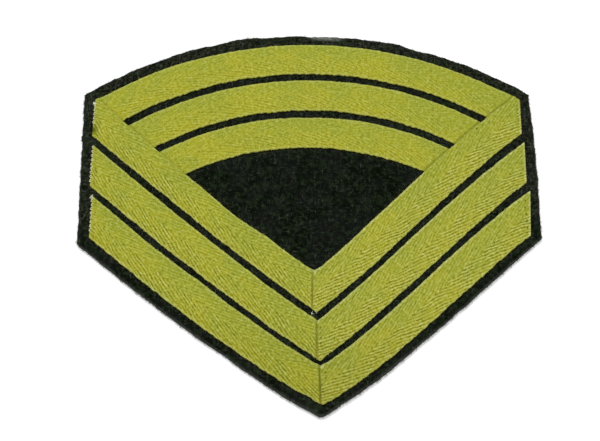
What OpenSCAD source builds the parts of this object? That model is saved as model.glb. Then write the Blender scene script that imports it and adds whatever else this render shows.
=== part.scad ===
// Rank chevron patch: three arcs and three chevrons of twill tape laid on a wool cloth.
// It lies face up. The origin is in the middle of the patch on its back face, +X is to the
// right as the patch is seen, +Y runs from the point to the crown of the arcs, +Z is up.
// Outlines are drawn with the point at y = 0, and laid() brings them to the origin.

/* [Cloth] */
// Width of the cloth between its straight sides
cloth_w = 177.2; // [172:0.2:200]
// Height of the cloth from its point to the crown of its arch
cloth_h = 151.4; // [150:0.2:170]
// Height of the two lower corners above the point
corner_h = 65.7; // [60:0.1:66]
// Thickness of the wool cloth
cloth_t = 2; // [1:0.1:3]
// Radius of the arched top edge
arch_r = 164; // [158:1:200]
// Place of the arch's crown, to the right of the middle
arch_x = -2.2; // [-4:0.1:4]
// Place of the cloth's point, to the right of the middle
point_x = 3.5; // [-4:0.1:5]
// Rounding of the point
point_r = 2.5; // [1:0.5:12]

/* [Border] */
// Cloth that shows above the outer arc
border_top = 4.5; // [3:0.1:5]
// Cloth that shows beside the tape ends on the left
border_left = 4.7; // [3:0.1:6]
// Cloth that shows beside the tape ends on the right
border_right = 4; // [3:0.1:6]
// Cloth that shows below the lowest chevron
border_low = 4.2; // [3:0.1:5]

/* [Tape] */
// Width of the tape
tape_w = 12.7; // [10:0.1:13.5]
// Thickness of the tape
tape_t = 1; // [0.6:0.1:1.5]
// Clearance between a tape and what it lies on
seat_gap = 0.1; // [0.05:0.05:0.3]

/* [Arcs] */
// Outer radius of the outer arc
arc_r = 157; // [150:1:190]
// Place of the arcs' middle, to the right of the cloth's middle
arc_x = -1.7; // [-4:0.1:4]
// Clear cloth between two arcs
arc_gap = 2.8; // [1.5:0.1:4]
// How much faster an arc's radius shrinks than its crown drops
arc_tighten = 1.13; // [1:0.01:1.2]

/* [Chevrons] */
// Clear cloth between two chevrons
bar_gap = 2.4; // [1.5:0.1:3.5]
// Foot of the line on which the mitres lie, to the right of the middle
mitre_foot = 4; // [-4:0.1:5]
// Lean of that line away from upright, in degrees
mitre_lean = 2.5; // [-3:0.1:4]
// Width of the arc ends that the upper chevron covers
lap_w = 3; // [1:0.1:5]
// Clearance between an arc's end and the chevron that covers it
lap_clear = 0.3; // [0.2:0.05:0.6]
// Width of the upper chevron that rises with its covering edge
lap_land = 1.5; // [1:0.1:4]
// Height that the pleat under a mitre lifts the tape by
fold_rise = 0.6; // [0.3:0.1:1]

/* [Hidden] */
$fn = 180;
// Steps along each arm's curve
arm_steps = 24;
// Share of its run by which an arm is drawn past the mitre and past the side
overrun = 0.06;
// Steps round the point of the cloth
point_steps = 6;
// Least distance of a curve's points from the corner on the mitre
near = 0.5;
// Size that is certain to reach past the whole patch
far = 2 * (cloth_w + cloth_h);
cloth_color = "#1d231f";
tape_color = "#a9ab3f";
// Levels of the tapes' underside and top, and of the top where two tapes lie on each other
tape_z = cloth_t + seat_gap;
tape_top = tape_z + tape_t;
lap_z = tape_top + seat_gap;
// Columns of the table of rows
AT_POINT = 0;
LEFT = AT_POINT + 1;
RIGHT = LEFT + 1;
// Columns of an arm, all but the slopes of them shares
CLEAR = 0;
W_POINT = CLEAR + 1;
W_SIDE = W_POINT + 1;
WAIST = W_SIDE + 1;
END_FOOT = WAIST + 1;
END_TOP = END_FOOT + 1;
SLOPE_POINT = END_TOP + 1;
SLOPE_SIDE = SLOPE_POINT + 1;
// The cloth's lower edge, then each chevron from the lowest up. First comes the clear strip
// under the row at the point, then its left and right arm. Clear strips are shares of
// border_low or bar_gap. Widths, and the waist by which an arm is narrower halfway, are shares
// of tape_w. The cloth beside the foot and the top of an arm's end is a share of border_left or
// border_right. Slopes are in degrees
rows = [
  [0.00, [0.00, 0.00, 0.00, 0.00, 0.00, 0.00, 28.5, 39.0],
         [0.00, 0.00, 0.00, 0.00, 0.00, 0.00, 31.5, 40.0]],
  [0.92, [1.19, 0.96, 1.02, -0.02, 1.00, 1.15, 30.5, 40.5],
         [0.71, 0.97, 1.10, -0.01, 1.07, 0.88, 30.0, 33.5]],
  [0.69, [0.98, 0.94, 1.02, 0.00, 0.90, 1.00, 35.0, 41.0],
         [1.56, 0.98, 1.03, -0.02, 1.06, 0.96, 36.5, 34.5]],
  [1.01, [0.96, 0.95, 1.02, 0.09, 1.00, 1.00, 36.0, 41.7],
         [1.45, 0.99, 1.08, 0.00, 1.14, 1.13, 38.0, 32.5]]
];
CLOTH = 0;
LOWER = CLOTH + 1;
MIDDLE = LOWER + 1;
UPPER = MIDDLE + 1;

// Height of a row's centre line at the point, built up from the row below it
function point_slope(k) = (rows[k][LEFT][SLOPE_POINT] + rows[k][RIGHT][SLOPE_POINT]) / 2;
function point_w(k) = tape_w * (rows[k][LEFT][W_POINT] + rows[k][RIGHT][W_POINT]) / 2;
function clear_base(k) = k == LOWER ? border_low : bar_gap;
function point_y(k) = k == CLOTH
  ? -point_r * (1 / cos(point_slope(CLOTH)) - 1)
  : point_y(k - 1) + (point_w(k - 1) / 2 + rows[k][AT_POINT] * clear_base(k) + point_w(k) / 2)
    / cos((point_slope(k - 1) + point_slope(k)) / 2);

// Height of an arm's centre line at the cloth's side, built up in the same way
function side_w(k, arm) = tape_w * rows[k][arm][W_SIDE];
function side_y(k, arm) = k == CLOTH
  ? corner_h
  : side_y(k - 1, arm)
    + (side_w(k - 1, arm) / 2 + rows[k][arm][CLEAR] * clear_base(k) + side_w(k, arm) / 2)
    / cos((rows[k - 1][arm][SLOPE_SIDE] + rows[k][arm][SLOPE_SIDE]) / 2);

// An arm's centre line is a cubic in its share u of the way from the mitre to the side
function mitre_x(y) = mitre_foot - y * tan(mitre_lean);
function point_shift(k) = k == CLOTH ? point_x - mitre_foot : 0;
function hand(arm) = arm == LEFT ? -1 : 1;
function reach(k, arm) = cloth_w / 2 - hand(arm) * mitre_x(point_y(k));
function climb(k, arm, column) = tan(rows[k][arm][column]) * reach(k, arm);
function centre_y(k, arm, u) =
  point_y(k) * (2 * pow(u, 3) - 3 * pow(u, 2) + 1)
  + side_y(k, arm) * (3 * pow(u, 2) - 2 * pow(u, 3))
  + climb(k, arm, SLOPE_POINT) * (pow(u, 3) - 2 * pow(u, 2) + u)
  + climb(k, arm, SLOPE_SIDE) * (pow(u, 3) - pow(u, 2));
function centre_slope(k, arm, u) =
  ((point_y(k) - side_y(k, arm)) * 6 * (pow(u, 2) - u)
  + climb(k, arm, SLOPE_POINT) * (3 * pow(u, 2) - 4 * u + 1)
  + climb(k, arm, SLOPE_SIDE) * (3 * pow(u, 2) - 2 * u)) / reach(k, arm);
function waist(k, arm) = tape_w * rows[k][arm][WAIST];
function half_w(k, arm, u) =
  (point_w(k) * (1 - u) + side_w(k, arm) * u) / 2 - 2 * waist(k, arm) * u * (1 - u);

// Point at a distance above an arm's centre line, square to it
function beside(k, arm, u, away) =
  let (turn = atan(centre_slope(k, arm, u)))
  [mitre_x(point_y(k)) + point_shift(k) * (1 - u) + hand(arm) * (reach(k, arm) * u - away * sin(turn)),
   centre_y(k, arm, u) + away * cos(turn)];
// Edge of an arm as points from the mitre outwards. edge is 1 for the upper and -1 for the
// lower edge, and inset moves the line towards the middle of the tape
function arm_edge(k, arm, edge, inset = 0) = [
  for (i = [0:arm_steps])
  let (u = -overrun + (1 + 2 * overrun) * i / arm_steps)
  beside(k, arm, u, edge * (half_w(k, arm, u) - inset))
];
function reversed(points) = [for (i = [len(points) - 1:-1:0]) points[i]];
// Where a line of points crosses the mitre
function mitre_side(p) = p[0] - mitre_x(p[1]);
function crossing(points, i = 0) =
  mitre_side(points[i]) * mitre_side(points[i + 1]) > 0
  ? crossing(points, i + 1)
  : let (share = mitre_side(points[i]) / (mitre_side(points[i]) - mitre_side(points[i + 1])))
    points[i] + share * (points[i + 1] - points[i]);
// Both arms meet in one corner on the mitre, which is an arc at the cloth's point
function corner(k, edge, inset) =
  (crossing(arm_edge(k, LEFT, edge, inset)) + crossing(arm_edge(k, RIGHT, edge, inset))) / 2;
function rounded_corner() = [
  for (i = [0:point_steps])
  let (turn = point_slope(CLOTH) * (2 * i / point_steps - 1))
  [mitre_x(point_r) + point_shift(CLOTH) + point_r * sin(turn), point_r * (1 - cos(turn))]
];
function corner_points(k, edge, inset) = k == CLOTH ? rounded_corner() : [corner(k, edge, inset)];
function corner_reach(k) =
  near + (k == CLOTH ? point_r * sin(point_slope(CLOTH)) + abs(point_shift(k)) : 0);
// A row's edge from its left end round the corner to its right end
function outer_part(k, arm, edge, inset) = [
  for (p = arm_edge(k, arm, edge, inset))
  if (hand(arm) * mitre_side(p) > corner_reach(k)) p
];
function row_edge(k, edge, inset = 0) = concat(
  reversed(outer_part(k, LEFT, edge, inset)),
  corner_points(k, edge, inset),
  outer_part(k, RIGHT, edge, inset)
);

// Foot and top of the line on which an arm's tape ends, and its place at any height
function side_border(arm) = arm == LEFT ? border_left : border_right;
function end_point(k, arm, edge, column) = [
  hand(arm) * (cloth_w / 2 - side_border(arm) * rows[k][arm][column]),
  side_y(k, arm) + edge * side_w(k, arm) / 2
];
function end_x(k, arm, y) =
  let (foot = end_point(k, arm, -1, END_FOOT), top = end_point(k, arm, 1, END_TOP))
  foot[0] + (top[0] - foot[0]) * (y - foot[1]) / (top[1] - foot[1]);

// Crown and radius of the outer edge of an arc, where 0 is the outer arc
function arc_drop(i) = i * (tape_w + arc_gap);
function arc_crown(i) = cloth_h - border_top - arc_drop(i);
function arc_radius(i) = arc_r - arc_drop(i) * arc_tighten;

// Moves what is drawn from the point up to the origin in the middle, at a height
module laid(z) {
  translate([0, -cloth_h / 2, z])
    children();
}

// Disc of an arc's outer edge, drawn in by inset
module arc_disc(i, inset = 0) {
  translate([arc_x, arc_crown(i) - arc_radius(i)])
    circle(r = arc_radius(i) - inset);
}

// Everything above a row's upper edge, with that edge moved down by inset
module above_row(k, inset = 0) {
  polygon(concat(row_edge(k, 1, inset), [[far, far], [-far, far]]));
}

// Room inside the outer arc's edge and between the ends of a chevron
module tape_field(k) {
  intersection() {
    arc_disc(0);
    polygon([
      [end_x(k, LEFT, 0), 0],
      [end_x(k, RIGHT, 0), 0],
      [end_x(k, RIGHT, cloth_h), cloth_h],
      [end_x(k, LEFT, cloth_h), cloth_h]
    ]);
  }
}

// Outline of a chevron
module chevron_outline(k) {
  intersection() {
    polygon(concat(row_edge(k, -1), reversed(row_edge(k, 1))));
    tape_field(k);
  }
}

// Triangle of the tape's pleat, which lies folded under the right arm beside the mitre
module pleat_outline(k) {
  low = corner(k, -1, 0);
  high = corner(k, 1, 0);
  tuck = low + point_w(k) * [sin(point_slope(k)), cos(point_slope(k))];
  polygon([low, tuck, high]);
}

// Chevron of one tape, lifted over its own pleat
module chevron_tape(k) {
  color(tape_color)
    laid(tape_z) {
      linear_extrude(tape_t)
        chevron_outline(k);
      linear_extrude(tape_t + fold_rise)
        pleat_outline(k);
    }
}

// Strip along the upper chevron's upper edge, only where arcs run in under it
module lap_outline(depth) {
  difference() {
    intersection() {
      polygon(concat(row_edge(UPPER, 1, depth), reversed(row_edge(UPPER, 1))));
      tape_field(UPPER);
    }
    arc_disc(2, tape_w + lap_clear);
  }
}

module arc_tape(i) {
  color(tape_color)
    laid(tape_z)
      linear_extrude(tape_t)
        intersection() {
          difference() {
            arc_disc(i);
            arc_disc(i, tape_w);
          }
          above_row(UPPER, lap_w);
          tape_field(UPPER);
        }
}

module backing() {
  color(cloth_color)
    laid(0)
      linear_extrude(cloth_t)
        intersection() {
          translate([arch_x, cloth_h - arch_r])
            circle(r = arch_r);
          translate([-cloth_w / 2, 0])
            square([cloth_w, cloth_h]);
          above_row(CLOTH);
        }
}

module arc_outer() {
  arc_tape(0);
}

module arc_middle() {
  arc_tape(1);
}

module arc_inner() {
  arc_tape(2);
}

module chevron_upper() {
  color(tape_color)
    difference() {
      union() {
        chevron_tape(UPPER);
        laid(tape_z)
          linear_extrude(lap_z - tape_z + tape_t)
            lap_outline(lap_w + lap_clear + lap_land);
      }
      laid(0)
        linear_extrude(lap_z)
          lap_outline(lap_w + lap_clear);
    }
}

module chevron_middle() {
  chevron_tape(MIDDLE);
}

module chevron_lower() {
  chevron_tape(LOWER);
}

backing();
arc_outer();
arc_middle();
arc_inner();
chevron_upper();
chevron_middle();
chevron_lower();
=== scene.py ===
import math

import bpy
import numpy as np
from mathutils import Matrix, Vector


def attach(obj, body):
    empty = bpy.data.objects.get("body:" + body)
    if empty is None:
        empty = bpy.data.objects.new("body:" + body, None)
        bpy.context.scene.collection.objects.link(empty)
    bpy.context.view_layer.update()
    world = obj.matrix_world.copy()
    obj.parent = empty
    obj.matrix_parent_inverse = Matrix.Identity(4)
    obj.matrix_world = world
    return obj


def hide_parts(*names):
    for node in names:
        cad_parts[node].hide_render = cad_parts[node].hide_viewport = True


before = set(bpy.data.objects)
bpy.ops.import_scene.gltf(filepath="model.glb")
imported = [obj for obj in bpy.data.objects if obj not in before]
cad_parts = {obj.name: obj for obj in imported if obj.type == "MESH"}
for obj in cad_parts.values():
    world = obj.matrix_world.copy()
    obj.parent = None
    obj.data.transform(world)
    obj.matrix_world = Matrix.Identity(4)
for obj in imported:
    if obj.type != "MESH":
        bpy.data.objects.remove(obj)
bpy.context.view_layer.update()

# Rank chevron patch: dark wool cloth, three arcs and three chevrons of olive herringbone tape.
# Lengths here are millimetres until makePiece puts them into a mesh in metres.
# x runs to the right, y from the point to the crown of the arcs, z out of the front.

mm = 0.001
farOff = 99.0   # stands for far away

patch = {
    "width": 177.2,        # cloth between its straight sides
    "height": 151.4,       # cloth from point to crown
    "cornerHeight": 65.7,  # lower corners above the point
    "thickness": 2.0,
    "archRadius": 164.0,   # top edge of the cloth
    "archX": -2.2,
    "pointX": 3.5,         # the cloth's own point
    "pointRadius": 2.5,
    "pointTurn": 30.0,     # degrees that its rounding turns to either side
    "mitreX": 4.0,         # foot of the line on which the mitres lie
    "mitreLean": 2.5,      # degrees away from upright
    "borderTop": 4.5,
    "borderLeft": 4.7,
    "borderRight": 4.0,
    "borderLow": 4.2,
    "tapeWidth": 12.7,
    "seatGap": 0.1,
    "arcRadius": 157.0,    # outer edge of the outer arc
    "arcX": -1.7,
    "arcGap": 2.8,
    "arcTighten": 1.13,    # how much faster the radius shrinks than the crown drops
    "barGap": 2.4,
    "lapWidth": 3.0,       # arc ends that the upper chevron covers
    "armSlope": 37.0,      # degrees, about that of all arms
    "upperSlope": 38.0,    # and of the upper chevron's upper edge
}

halfCloth = patch["width"] / 2
halfTape = patch["tapeWidth"] / 2
seat = patch["thickness"] + patch["seatGap"]   # underside of the tapes

# Rows from the lowest up: clear strip at the point, then left and right arm, each with its clear
# strip at the side, its width at the point and at the side, its waist (how much narrower it is
# halfway), the cloth beside the foot and the top of its end, and its slope at the point and side.
# All but the slopes are shares of border, gap or tape.
rows = {
    "cloth": (0.00, (0.00, 0.00, 0.00, 0.00, 0.00, 0.00, 28.5, 39.0),
              (0.00, 0.00, 0.00, 0.00, 0.00, 0.00, 31.5, 40.0)),
    "lower": (0.92, (1.19, 0.96, 1.02, -0.02, 1.00, 1.15, 30.5, 40.5),
              (0.71, 0.97, 1.10, -0.01, 1.07, 0.88, 30.0, 33.5)),
    "middle": (0.69, (0.98, 0.94, 1.02, 0.00, 0.90, 1.00, 35.0, 41.0),
               (1.56, 0.98, 1.03, -0.02, 1.06, 0.96, 36.5, 34.5)),
    "upper": (1.01, (0.96, 0.95, 1.02, 0.09, 1.00, 1.00, 36.0, 41.7),
              (1.45, 0.99, 1.08, 0.00, 1.14, 1.13, 38.0, 32.5)),
}


def smoothStep(t):   # 3t^2 - 2t^3 between 0 and 1, level outside
    t = np.clip(t, 0.0, 1.0)
    return t * t * (3.0 - 2.0 * t)


def bell(t):   # 1 at 0, falling as exp(-t^2) to both sides
    return np.exp(-t**2)


def spot(x, y, placeX, placeY, reach):   # the same bell round a place
    return np.exp(-((x - placeX)**2 + (y - placeY)**2) / reach**2)


def outerShare(share, outer):   # 0 inside, and up to 1 by a smooth step over the outermost part
    return smoothStep((share - (1 - outer)) / outer)


latticeSize = 64             # heights each way, after which the noise repeats
latticeStart = (11.3, 7.9)   # where on the lattice the origin lies


def smoothNoise(x, y, cell, seed):   # random heights from -1 to 1 on a square lattice, blended smoothly
    lattice = np.random.default_rng(int(10 * seed)).uniform(-1.0, 1.0, (latticeSize, latticeSize))
    gx, gy = np.asarray(x) / cell + latticeStart[0], np.asarray(y) / cell + latticeStart[1]
    ix, iy = np.floor(gx).astype(int), np.floor(gy).astype(int)
    fx, fy = smoothStep(gx - ix), smoothStep(gy - iy)
    left, right, foot, top = (k % latticeSize for k in (ix, ix + 1, iy, iy + 1))
    low = lattice[left, foot] * (1 - fx) + lattice[right, foot] * fx
    high = lattice[left, top] * (1 - fx) + lattice[right, top] * fx
    return low * (1 - fy) + high * fy


def layers(x, y, cells, seed):   # one smooth noise for each cell, times its height, added up
    return sum(height * smoothNoise(x, y, cell, seed + k) for k, (cell, height) in enumerate(cells))


def lastInside(inside, low, high):   # halves the span until it closes on where inside stops being true
    for halving in range(32):
        middle = (low + high) / 2
        yes = inside(middle)
        low, high = np.where(yes, middle, low), np.where(yes, high, middle)
    return (low + high) / 2


def runAlong(line):   # length along a line of points up to each of them, as a running sum
    return np.concatenate([[0], np.cumsum(np.hypot(*np.diff(line, axis=0).T))])


def stations(length, cells, steps):   # places from 0 to length: the steps at both ends, even between
    even = np.linspace(steps[-1], length - steps[-1], cells - 2 * len(steps) + 3)[1:-1]
    return np.concatenate([steps, even, length - steps[::-1]])


def mitreX(y):   # the line on which the mitres lie, y from the point
    return patch["mitreX"] - y * math.tan(math.radians(patch["mitreLean"]))


# Height of a row's line at its point or side, from the slope, width and height of the row below there
def stackedOn(below, clear, slope, width):
    lowSlope, lowWidth, lowY = below
    return lowY + (lowWidth / 2 + clear + width / 2) / math.cos(math.radians((lowSlope + slope) / 2))


# Each row's arms: heights of the centre line at the mitre and at the side, built up from below
arms = {}
below = None
for rowName, (pointClear, *sides) in rows.items():
    slope = (sides[0][6] + sides[1][6]) / 2
    width = patch["tapeWidth"] * (sides[0][1] + sides[1][1]) / 2
    gap = patch["borderLow"] if rowName == "lower" else patch["barGap"]
    pointY = -patch["pointRadius"] * (1 / math.cos(math.radians(slope)) - 1)
    if below:
        pointY = stackedOn(below[0], pointClear * gap, slope, width)
    here = [(slope, width, pointY)]
    for k, (hand, border) in enumerate(((-1, patch["borderLeft"]), (1, patch["borderRight"]))):
        clear, _, sideShare, waist, footShare, topShare, pointSlope, sideSlope = sides[k]
        sideWidth = patch["tapeWidth"] * sideShare
        sideY = patch["cornerHeight"]
        if below:
            sideY = stackedOn(below[k + 1], clear * gap, sideSlope, sideWidth)
        here.append((sideSlope, sideWidth, sideY))
        arms[rowName, hand] = {
            "hand": hand, "pointY": pointY, "sideY": sideY, "pointWidth": width, "sideWidth": sideWidth,
            "waist": patch["tapeWidth"] * waist, "rowSlope": math.radians(slope),
            "endFoot": hand * (halfCloth - border * footShare), "endTop": hand * (halfCloth - border * topShare),
            "pointSlope": math.tan(math.radians(pointSlope)), "sideSlope": math.tan(math.radians(sideSlope)),
            "reach": halfCloth - hand * mitreX(pointY),
            "pointShift": patch["pointX"] - patch["mitreX"] if rowName == "cloth" else 0.0,
        }
    below = here


runShares = np.linspace(-0.2, 1.2, 700)    # places on an arm between which its length is added up
edgeShares = np.linspace(-0.1, 1.1, 300)   # places on an arm at which a row's edge is worked out


def armCentre(arm, u):   # cubic from the mitre (u = 0) to the cloth's side (u = 1) with set end slopes
    reach = arm["reach"]
    startRise, endRise = arm["pointSlope"] * reach, arm["sideSlope"] * reach
    x = mitreX(arm["pointY"]) + arm["hand"] * reach * u + arm["pointShift"] * (1 - u)
    y = (arm["pointY"] * (2 * u**3 - 3 * u**2 + 1) + arm["sideY"] * (3 * u**2 - 2 * u**3)
         + startRise * (u**3 - 2 * u**2 + u) + endRise * (u**3 - u**2))
    slope = ((arm["pointY"] - arm["sideY"]) * 6 * (u**2 - u) + startRise * (3 * u**2 - 4 * u + 1)
             + endRise * (3 * u**2 - 2 * u)) / reach
    return x, y, slope


def armHalfWidth(arm, u):   # even from point to side, less a parabola for the waist
    return (arm["pointWidth"] * (1 - u) + arm["sideWidth"] * u) / 2 - 2 * arm["waist"] * u * (1 - u)


def armPoint(arm, u, away):   # centre line moved square to itself by away, upwards where away is over 0
    x, y, slope = armCentre(arm, u)
    turn = np.arctan(slope)
    return x - arm["hand"] * away * np.sin(turn), y + away * np.cos(turn)


def armRun(arm, u):   # length along the centre line from the mitre, from the sum of short chords
    run = runAlong(np.stack(armCentre(arm, runShares)[:2], -1))
    return np.interp(u, runShares, run - np.interp(0, runShares, run))


def arcCrown(number):   # top of an arc's outer edge, 0 is the outer arc
    return patch["height"] - patch["borderTop"] - number * (patch["tapeWidth"] + patch["arcGap"])


def arcOuterRadius(number):   # shrinks a little faster than the crown drops
    return patch["arcRadius"] - number * (patch["tapeWidth"] + patch["arcGap"]) * patch["arcTighten"]


def arcDistance(number, x, y):   # how far inside an arc's outer edge a place is
    radius = arcOuterRadius(number)
    return radius - np.hypot(x - patch["arcX"], y - arcCrown(number) + radius)


# How far right of its line each tape was cut, at its foot and top
cutSlips = {
    ("upper", -1): (-0.40, 0.10), ("middle", -1): (0.02, -0.10), ("lower", -1): (0.16, -0.10),
    ("upper", 1): (-0.06, 0.10), ("middle", 1): (0.02, -0.03), ("lower", 1): (0.20, 0.38),
}


def endX(rowName, hand, y):   # the line on which an arm's tape ends, through its foot and top
    arm, (footSlip, topSlip) = arms[rowName, hand], cutSlips[rowName, hand]
    foot, top = arm["endFoot"] + footSlip, arm["endTop"] + topSlip
    return foot + (top - foot) * ((y - arm["sideY"]) / arm["sideWidth"] + 0.5)


# How far inside a row's two ends and the outer arc's edge a place is
def fieldRoom(rowName, x, y):
    sides = np.minimum(x - endX(rowName, -1, y), endX(rowName, 1, y) - x)
    return np.minimum(sides, arcDistance(0, x, y))


# A row's lower (-1) or upper (1) edge from left to right: the edges of both arms, each up to the mitres
def rowEdge(rowName, edge):
    parts = []
    for hand in (-1, 1):
        arm = arms[rowName, hand]
        x, y = armPoint(arm, edgeShares, edge * armHalfWidth(arm, edgeShares))
        keep = hand * (x - mitreX(y)) > 0
        parts.append(np.stack([x[keep], y[keep]])[:, ::hand])
    return np.concatenate(parts, 1)


upperEdge = rowEdge("upper", 1)


def overUpper(x, y):   # height over the upper chevron's upper edge, measured square to its usual slope
    return (y - np.interp(x, *upperEdge)) * math.cos(math.radians(patch["upperSlope"]))


# Points in millimetres and arrays of faces become one mesh at the origin, in metres
def makePiece(name, points, faces, material, uvMaps=None, values=None):
    mesh = bpy.data.meshes.new(name)
    loops = np.concatenate([f.reshape(-1) for f in faces]).astype(np.int32)
    totals = np.concatenate([np.full(len(f), f.shape[1]) for f in faces]).astype(np.int32)
    starts = np.concatenate([[0], np.cumsum(totals)[:-1]]).astype(np.int32)
    mesh.vertices.add(len(points))
    mesh.vertices.foreach_set("co", (points * mm).astype(np.float32).reshape(-1))
    mesh.loops.add(len(loops))
    mesh.loops.foreach_set("vertex_index", loops)
    mesh.polygons.add(len(totals))
    mesh.polygons.foreach_set("loop_start", starts)
    mesh.polygons.foreach_set("loop_total", totals)
    mesh.polygons.foreach_set("use_smooth", np.ones(len(totals), dtype=bool))
    mesh.update(calc_edges=True)
    for uvName, uv in (uvMaps or {}).items():
        uv = np.concatenate([part.reshape(-1, 2) for part in uv]).astype(np.float32)
        mesh.uv_layers.new(name=uvName).data.foreach_set("uv", uv.reshape(-1))
    for valueName, value in (values or {}).items():
        attribute = mesh.attributes.new(valueName, "FLOAT", "POINT")
        attribute.data.foreach_set("value", value.astype(np.float32))
    mesh.materials.append(material)
    piece = bpy.data.objects.new(name, mesh)
    bpy.context.scene.collection.objects.link(piece)
    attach(piece, "root")
    return piece


def gridFaces(columns, ring, closed):   # quads of a grid, each of whose columns is a ring where closed
    i, j = np.meshgrid(np.arange(columns - 1), np.arange(ring if closed else ring - 1), indexing="ij")
    k = (j + 1) % ring
    return np.stack([i * ring + j, (i + 1) * ring + j, (i + 1) * ring + k, i * ring + k], -1).reshape(-1, 4)


# Points that were worked out with y from the patch's point, moved to the frame's origin
def laid(x, y, z):
    return np.stack([x, y - patch["height"] / 2, z], -1).reshape(-1, 3)


def newMaterial(name):
    material = bpy.data.materials.new(name)
    material.use_nodes = True
    tree = material.node_tree
    tree.nodes.clear()
    output = tree.nodes.new("ShaderNodeOutputMaterial")
    shader = tree.nodes.new("ShaderNodeBsdfPrincipled")
    tree.links.new(shader.outputs["BSDF"], output.inputs["Surface"])
    return material, tree, shader


# One node: settings are its own fields, inputs are numbers, colours or another node's output
def addNode(tree, kind, inputs=None, **settings):
    node = tree.nodes.new("ShaderNode" + kind)
    for key, value in settings.items():
        setattr(node, key, value)
    for key, value in (inputs or {}).items():
        if isinstance(value, bpy.types.NodeSocket):
            tree.links.new(value, node.inputs[key])
        else:
            node.inputs[key].default_value = value
    return node


def mathNode(tree, operation, *values):
    return addNode(tree, "Math", dict(enumerate(values)), operation=operation).outputs[0]


def times(tree, first, second):
    return mathNode(tree, "MULTIPLY", first, second)


def timesPlus(tree, first, second, third):   # first times second, plus third
    return mathNode(tree, "MULTIPLY_ADD", first, second, third)


def overAndUnder(tree, value):   # how far a value is over 0, and how far it is under 0
    return [mathNode(tree, "MAXIMUM", part, 0.0) for part in (value, times(tree, value, -1.0))]


def noiseNode(tree, vector, scale, detail=3.0, roughness=0.5, stretch=None):
    if stretch:
        vector = addNode(tree, "Mapping", {"Vector": vector, "Scale": stretch}).outputs[0]
    return addNode(tree, "TexNoise", {"Vector": vector, "Scale": scale, "Detail": detail,
                                      "Roughness": roughness}).outputs["Fac"]


def mixColour(tree, factor, first, second):   # sockets 0, 6 and 7 are the factor and the two colours
    return addNode(tree, "Mix", {0: factor, 6: first, 7: second}, data_type="RGBA").outputs[2]


def spread(tree, value, low, high):   # low to high becomes 0 to 1, softly
    return addNode(tree, "MapRange", {"Value": value, "From Min": low, "From Max": high},
                   interpolation_type="SMOOTHSTEP").outputs[0]


def pointValues(tree, *names):   # what a piece's own attributes say
    return [addNode(tree, "Attribute", attribute_name=name).outputs["Fac"] for name in names]


def finishShader(tree, shader, look, colour, height=None):   # colour, roughness, shine and bumps
    tree.links.new(colour, shader.inputs["Base Color"])
    shader.inputs["Roughness"].default_value = look["roughness"]
    shader.inputs["Specular IOR Level"].default_value = look["shine"]
    if height is not None:
        bump = addNode(tree, "Bump", {"Height": height, "Strength": look["bump"], "Distance": look["bumpDepth"]})
        tree.links.new(bump.outputs[0], shader.inputs["Normal"])


# Noises are scale a metre, detail, roughness and perhaps a stretch. A span says from and up to which
# height of a noise its colour comes in.
clothLook = {
    "base": (0.0012, 0.0024, 0.0006, 1),
    "navy": (0.0040, 0.0046, 0.0042, 1),
    "navyNoise": (150, 2),
    "navySpan": (0.35, 0.65),
    "green": (0.0088, 0.0148, 0.0062, 1),
    "greenNoise": (620, 3, 0.6),
    "greenSpan": (0.42, 0.72),
    "dust": (0.027, 0.025, 0.013, 1),
    "dustNoise": (900, 2, 0.6),
    "dustSpan": (0.48, 0.72),
    "lengthways": (1500, 4, 0.7, (1.0, 0.28, 1.0)),   # fibres
    "crossways": (1400, 4, 0.7, (0.3, 1.0, 1.0)),
    "fleck": (0.050, 0.060, 0.045, 1),
    "fleckShare": 0.57,    # fibres over this height are pale, and fully so from fleckFull
    "wornShare": 0.06,     # so much lower where the cloth is worn
    "fleckFull": 0.80,
    "fleckPale": 1.0,
    # cut edge: painted highlight where its fibre ends catch the light, on the fibres in the span below
    "cutEdgeHighlight": (0.150, 0.158, 0.130, 1),
    "cutHighlightSpan": (0.30, 0.62),
    "greenBump": 0.8,      # height of the green patches beside that of the fibres
    "bump": 1.0,
    "bumpDepth": 0.0004,   # metres
    "roughness": 0.95,
    "shine": 0.02,
}
fuzzLook = {**clothLook, "base": (0.008, 0.012, 0.009, 1), "fleckShare": 0.50, "fleckPale": 0.9}


# Dark wool: broad green and navy shades, short crossed fibres, and sparse pale flecks. Attributes:
# worn is up to 1 along the borders, where there are more flecks and some dust, and rim says how much
# painted highlight the cut edge gets, where its fibre ends catch the light.
def makeClothMaterial(name, look):
    material, tree, shader = newMaterial(name)
    place = addNode(tree, "TexCoord").outputs["Object"]
    navy, green, dusty, lengthways, crossways = (noiseNode(tree, place, *look[key]) for key in (
        "navyNoise", "greenNoise", "dustNoise", "lengthways", "crossways"))
    rim, worn = pointValues(tree, "rim", "worn")
    fibres = mathNode(tree, "MAXIMUM", lengthways, crossways)
    colour = mixColour(tree, spread(tree, navy, *look["navySpan"]), look["base"], look["navy"])
    colour = mixColour(tree, spread(tree, green, *look["greenSpan"]), colour, look["green"])
    dust = times(tree, spread(tree, dusty, *look["dustSpan"]), worn)
    colour = mixColour(tree, dust, colour, look["dust"])
    threshold = timesPlus(tree, worn, -look["wornShare"], look["fleckShare"])
    flecks = times(tree, spread(tree, fibres, threshold, look["fleckFull"]), look["fleckPale"])
    colour = mixColour(tree, flecks, colour, look["fleck"])
    # Painted highlight on the cut edge, strongest on its fibres
    cut = times(tree, rim, spread(tree, fibres, *look["cutHighlightSpan"]))
    colour = mixColour(tree, cut, colour, look["cutEdgeHighlight"])
    height = mathNode(tree, "ADD", fibres, times(tree, green, look["greenBump"]))
    finishShader(tree, shader, look, colour, height)
    return material
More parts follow.
